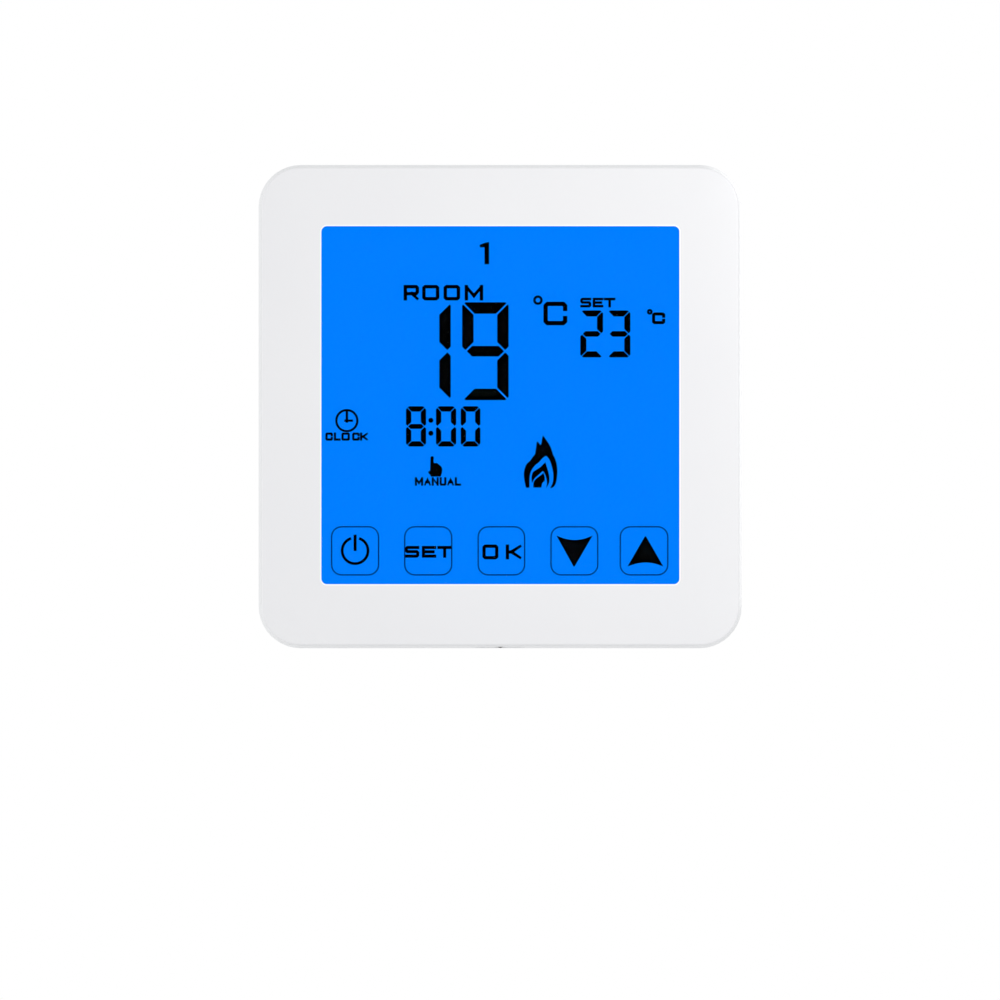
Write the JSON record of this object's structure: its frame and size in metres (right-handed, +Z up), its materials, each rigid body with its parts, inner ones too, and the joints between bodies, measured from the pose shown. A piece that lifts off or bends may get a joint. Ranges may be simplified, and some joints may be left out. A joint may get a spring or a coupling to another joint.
{
  "type": "wall thermostat",
  "caption": "Square flush wall thermostat: touch panel over a backlit display, a pull-off front, a steel mounting plate and a vented box with screw terminals that sits in the wall.",
  "frame": {"origin": "centre of the area that rests on the wall, in the plane of the wall's surface", "axes": "+Z up, +X to the right as seen from the room, +Y into the wall; the display faces -Y"},
  "size_m": [0.086, 0.0449, 0.086],
  "materials": {
    "panel": "clear panel with a white border printed behind it, satin front",
    "adhesive": "black foam adhesive",
    "clear_film": "clear film",
    "display_glass": "polished",
    "elastomer": "matt",
    "diffuser_film": "frosted",
    "light_guide": "clear moulded",
    "led_bar": "board with lamps",
    "reflector_film": "bright white film",
    "tray_plastic": "moulded",
    "white_plastic": "fine satin",
    "grey_plastic": "fine matt",
    "terminal_plastic": "matt",
    "black_steel": "black coated sheet steel",
    "circuit_board": "green solder mask",
    "black_plastic": "moulded",
    "sensor_resin": "dipped resin",
    "bright_steel": "plain",
    "zinc_steel": "zinc plated",
    "relay_case": "moulded",
    "transformer_core": "ferrite and taped winding",
    "capacitor_sleeve": "shrunk sleeve",
    "film_capacitor_case": "moulded",
    "varistor_coat": "dipped resin",
    "fuse_case": "moulded"
  },
  "bodies": {
    "base": {"mid_frame": "white_plastic", "mounting_plate": "black_steel", "rear_box": "grey_plastic", "power_board": "circuit_board", "relay": "relay_case", "transformer": "transformer_core", "electrolytic_capacitor": "capacitor_sleeve", "film_capacitor": "film_capacitor_case", "varistor": "varistor_coat", "fuse": "fuse_case", "board_header": "black_plastic", "terminal_block": "terminal_plastic", "plate_screw_1": "zinc_steel", "plate_screw_2": "zinc_steel", "plate_screw_3": "zinc_steel", "plate_screw_4": "zinc_steel"},
    "front_unit": {"front_panel": "panel", "panel_tape": "adhesive", "front_frame": "white_plastic", "touch_sensor": "clear_film", "lcd_front_glass": "display_glass", "lcd_rear_glass": "display_glass", "connector_strip_top": "elastomer", "connector_strip_bottom": "elastomer", "diffuser": "diffuser_film", "light_guide": "light_guide", "backlight_led_bar": "led_bar", "reflector": "reflector_film", "backlight_tray": "tray_plastic", "display_board": "circuit_board", "microcontroller": "black_plastic", "clock_crystal": "bright_steel", "backup_battery": "bright_steel", "buzzer": "black_plastic", "board_socket": "black_plastic", "air_sensor": "sensor_resin", "display_board_screw_1": "zinc_steel", "display_board_screw_2": "zinc_steel", "display_board_screw_3": "zinc_steel", "display_board_screw_4": "zinc_steel"},
    "clamp_1": {"terminal_clamp_1": "zinc_steel"},
    "screw_1": {"terminal_screw_1": "zinc_steel"},
    "clamp_2": {"terminal_clamp_2": "zinc_steel"},
    "screw_2": {"terminal_screw_2": "zinc_steel"},
    "clamp_3": {"terminal_clamp_3": "zinc_steel"},
    "screw_3": {"terminal_screw_3": "zinc_steel"},
    "clamp_4": {"terminal_clamp_4": "zinc_steel"},
    "screw_4": {"terminal_screw_4": "zinc_steel"},
    "clamp_5": {"terminal_clamp_5": "zinc_steel"},
    "screw_5": {"terminal_screw_5": "zinc_steel"},
    "clamp_6": {"terminal_clamp_6": "zinc_steel"},
    "screw_6": {"terminal_screw_6": "zinc_steel"},
    "clamp_7": {"terminal_clamp_7": "zinc_steel"},
    "screw_7": {"terminal_screw_7": "zinc_steel"},
    "clamp_8": {"terminal_clamp_8": "zinc_steel"},
    "screw_8": {"terminal_screw_8": "zinc_steel"},
    "clamp_9": {"terminal_clamp_9": "zinc_steel"},
    "screw_9": {"terminal_screw_9": "zinc_steel"}
  },
  "joints": [
    {"name": "front_unit_pull", "type": "slide", "parent": "base", "child": "front_unit", "axis": [0, -1, 0], "range_m": [0, 0.03]},
    {"name": "terminal_clamp_1_lift", "type": "slide", "parent": "base", "child": "clamp_1", "axis": [0, 1, 0], "range_m": [0, 0.0015]},
    {"name": "terminal_screw_1_turn", "type": "hinge", "parent": "clamp_1", "child": "screw_1", "pos_m": [-0.02, 0.0288, -0.012], "axis": [0, 1, 0], "range_deg": [0, 1081]},
    {"name": "terminal_clamp_2_lift", "type": "slide", "parent": "base", "child": "clamp_2", "axis": [0, 1, 0], "range_m": [0, 0.0015]},
    {"name": "terminal_screw_2_turn", "type": "hinge", "parent": "clamp_2", "child": "screw_2", "pos_m": [-0.015, 0.0288, -0.012], "axis": [0, 1, 0], "range_deg": [0, 1081]},
    {"name": "terminal_clamp_3_lift", "type": "slide", "parent": "base", "child": "clamp_3", "axis": [0, 1, 0], "range_m": [0, 0.0015]},
    {"name": "terminal_screw_3_turn", "type": "hinge", "parent": "clamp_3", "child": "screw_3", "pos_m": [-0.01, 0.0288, -0.012], "axis": [0, 1, 0], "range_deg": [0, 1081]},
    {"name": "terminal_clamp_4_lift", "type": "slide", "parent": "base", "child": "clamp_4", "axis": [0, 1, 0], "range_m": [0, 0.0015]},
    {"name": "terminal_screw_4_turn", "type": "hinge", "parent": "clamp_4", "child": "screw_4", "pos_m": [-0.005, 0.0288, -0.012], "axis": [0, 1, 0], "range_deg": [0, 1081]},
    {"name": "terminal_clamp_5_lift", "type": "slide", "parent": "base", "child": "clamp_5", "axis": [0, 1, 0], "range_m": [0, 0.0015]},
    {"name": "terminal_screw_5_turn", "type": "hinge", "parent": "clamp_5", "child": "screw_5", "pos_m": [0, 0.0288, -0.012], "axis": [0, 1, 0], "range_deg": [0, 1081]},
    {"name": "terminal_clamp_6_lift", "type": "slide", "parent": "base", "child": "clamp_6", "axis": [0, 1, 0], "range_m": [0, 0.0015]},
    {"name": "terminal_screw_6_turn", "type": "hinge", "parent": "clamp_6", "child": "screw_6", "pos_m": [0.005, 0.0288, -0.012], "axis": [0, 1, 0], "range_deg": [0, 1081]},
    {"name": "terminal_clamp_7_lift", "type": "slide", "parent": "base", "child": "clamp_7", "axis": [0, 1, 0], "range_m": [0, 0.0015]},
    {"name": "terminal_screw_7_turn", "type": "hinge", "parent": "clamp_7", "child": "screw_7", "pos_m": [0.01, 0.0288, -0.012], "axis": [0, 1, 0], "range_deg": [0, 1081]},
    {"name": "terminal_clamp_8_lift", "type": "slide", "parent": "base", "child": "clamp_8", "axis": [0, 1, 0], "range_m": [0, 0.0015]},
    {"name": "terminal_screw_8_turn", "type": "hinge", "parent": "clamp_8", "child": "screw_8", "pos_m": [0.015, 0.0288, -0.012], "axis": [0, 1, 0], "range_deg": [0, 1081]},
    {"name": "terminal_clamp_9_lift", "type": "slide", "parent": "base", "child": "clamp_9", "axis": [0, 1, 0], "range_m": [0, 0.0015]},
    {"name": "terminal_screw_9_turn", "type": "hinge", "parent": "clamp_9", "child": "screw_9", "pos_m": [0.02, 0.0288, -0.012], "axis": [0, 1, 0], "range_deg": [0, 1081]}
  ],
  "couplings": [
    {"joint": "terminal_screw_1_turn", "follows": "terminal_clamp_1_lift", "rad_per_m": 12566},
    {"joint": "terminal_screw_2_turn", "follows": "terminal_clamp_2_lift", "rad_per_m": 12566},
    {"joint": "terminal_screw_3_turn", "follows": "terminal_clamp_3_lift", "rad_per_m": 12566},
    {"joint": "terminal_screw_4_turn", "follows": "terminal_clamp_4_lift", "rad_per_m": 12566},
    {"joint": "terminal_screw_5_turn", "follows": "terminal_clamp_5_lift", "rad_per_m": 12566},
    {"joint": "terminal_screw_6_turn", "follows": "terminal_clamp_6_lift", "rad_per_m": 12566},
    {"joint": "terminal_screw_7_turn", "follows": "terminal_clamp_7_lift", "rad_per_m": 12566},
    {"joint": "terminal_screw_8_turn", "follows": "terminal_clamp_8_lift", "rad_per_m": 12566},
    {"joint": "terminal_screw_9_turn", "follows": "terminal_clamp_9_lift", "rad_per_m": 12566}
  ]
}
